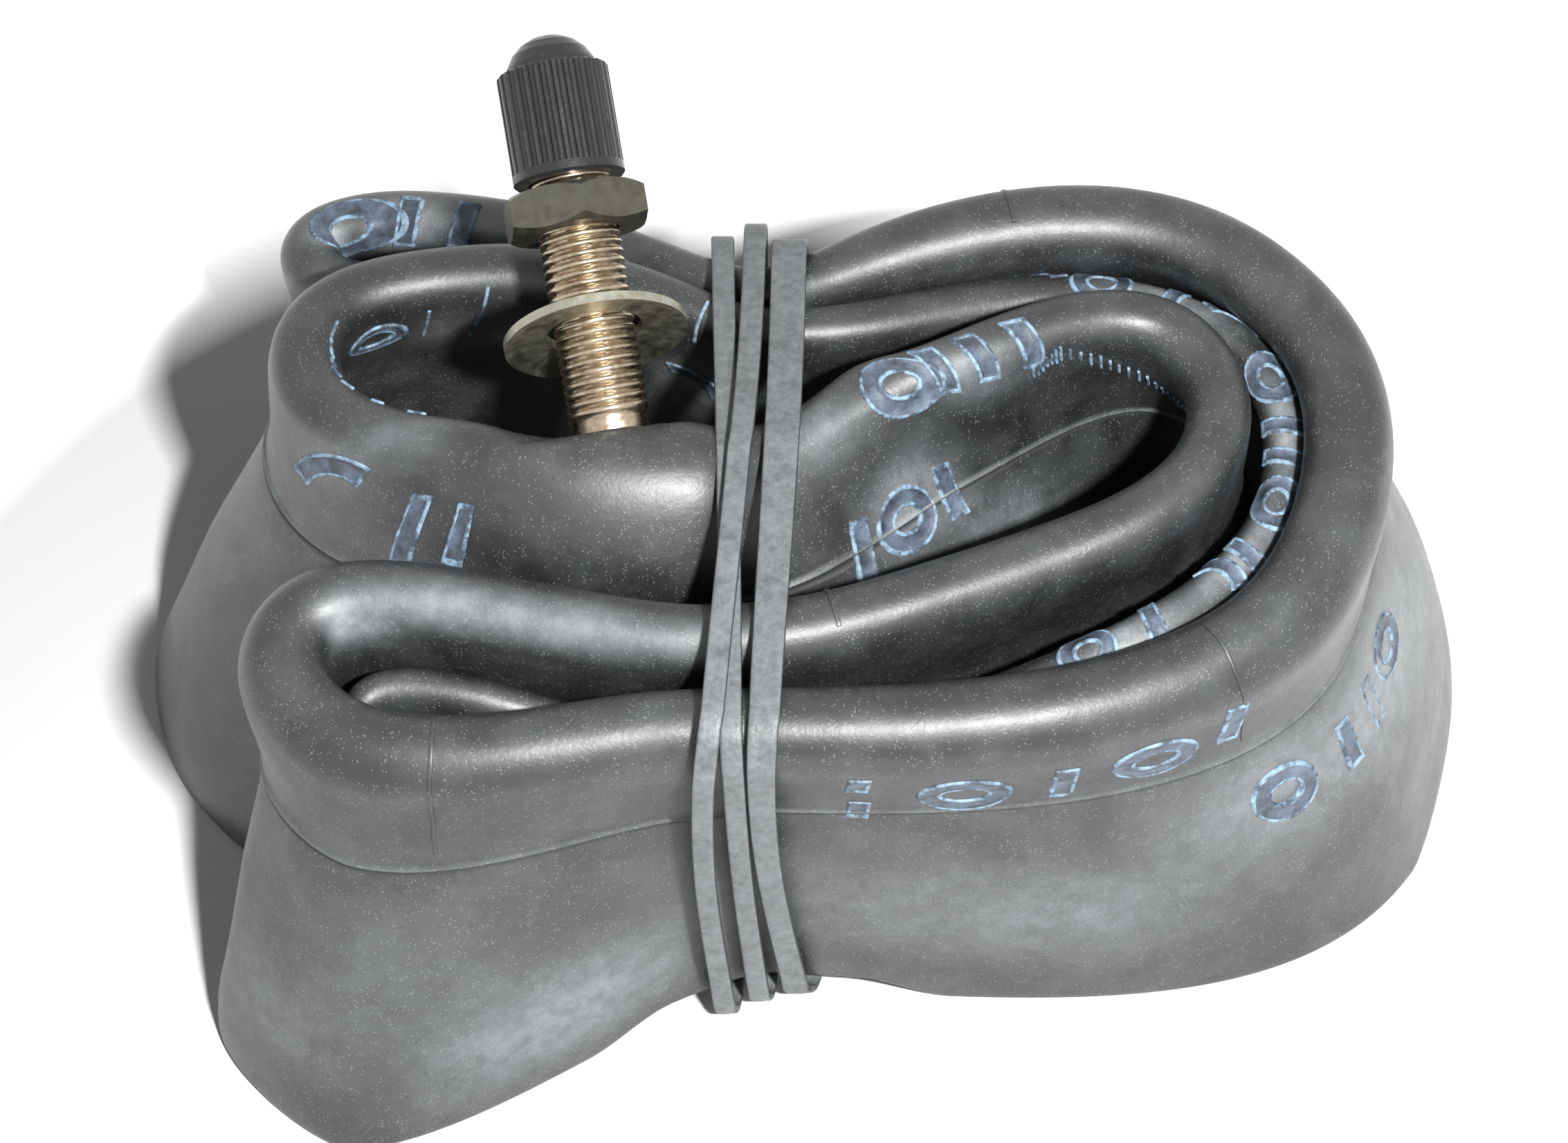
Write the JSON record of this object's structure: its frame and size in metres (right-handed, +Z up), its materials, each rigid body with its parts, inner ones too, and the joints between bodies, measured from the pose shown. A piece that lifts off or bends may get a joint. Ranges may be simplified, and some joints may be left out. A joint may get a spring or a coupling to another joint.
{
  "type": "bicycle inner tube",
  "caption": "Folded, empty bicycle inner tube standing on edge, with a leaning threaded valve, cap, rim nut and washer, tied by stretched rubber bands.",
  "frame": {"origin": "on the surface that the bundle stands on, under the middle of its box", "axes": "+X to the right along the bundle, +Y to the back, +Z up; the side with the open hollow and the valve's foot faces up, and the valve leans toward +Y"},
  "size_m": [0.1448, 0.0966, 0.0734],
  "materials": {
    "tube_rubber": "satin, dusted with talc",
    "stem_nickel": "nickel-plated",
    "core_brass": "satin",
    "gasket_red": "satin",
    "spring_steel": "satin",
    "seal_rubber": "matte",
    "cap_plastic": "satin",
    "nut_steel": "dull",
    "washer_zinc": "yellow zinc plating",
    "band_rubber": "satin, dusted with talc"
  },
  "bodies": {
    "tube": {"tube": "tube_rubber", "valve_foot": "tube_rubber", "valve_stem": "stem_nickel", "core_plug": "core_brass", "core_barrel": "core_brass", "core_gasket": "gasket_red", "core_spring": "spring_steel", "rubber_band_left": "band_rubber", "rubber_band_right": "band_rubber"},
    "cap_seal": {"cap_seal": "seal_rubber"},
    "cap": {"valve_cap": "cap_plastic"},
    "pin": {"core_pin": "core_brass", "core_cup": "core_brass", "core_seal": "seal_rubber"},
    "nut": {"rim_nut": "nut_steel"},
    "washer": {"rim_washer": "washer_zinc"}
  },
  "joints": [
    {"name": "cap_lift", "type": "slide", "parent": "tube", "child": "cap_seal", "axis": [-0.1669, 0.8586, 0.4848], "range_m": [0, 0.00953]},
    {"name": "cap_turn", "type": "hinge", "parent": "cap_seal", "child": "cap", "pos_m": [-0.02417, 0.03197, 0.06682], "axis": [-0.1669, 0.8586, 0.4848], "range_deg": [0, 4321]},
    {"name": "pin_press", "type": "slide", "parent": "tube", "child": "pin", "axis": [0.1669, -0.8586, -0.4848], "range_m": [0, 0.001], "stiffness_N_per_m": 300, "springref_m": -0.0015},
    {"name": "nut_run", "type": "slide", "parent": "tube", "child": "nut", "axis": [-0.1669, 0.8586, 0.4848], "range_m": [-0.007, 0.0009]},
    {"name": "washer_slide", "type": "slide", "parent": "tube", "child": "washer", "axis": [-0.1669, 0.8586, 0.4848], "range_m": [-0.0066, 0]}
  ],
  "couplings": [
    {"joint": "cap_turn", "follows": "cap_lift", "rad_per_m": 7913.3}
  ]
}
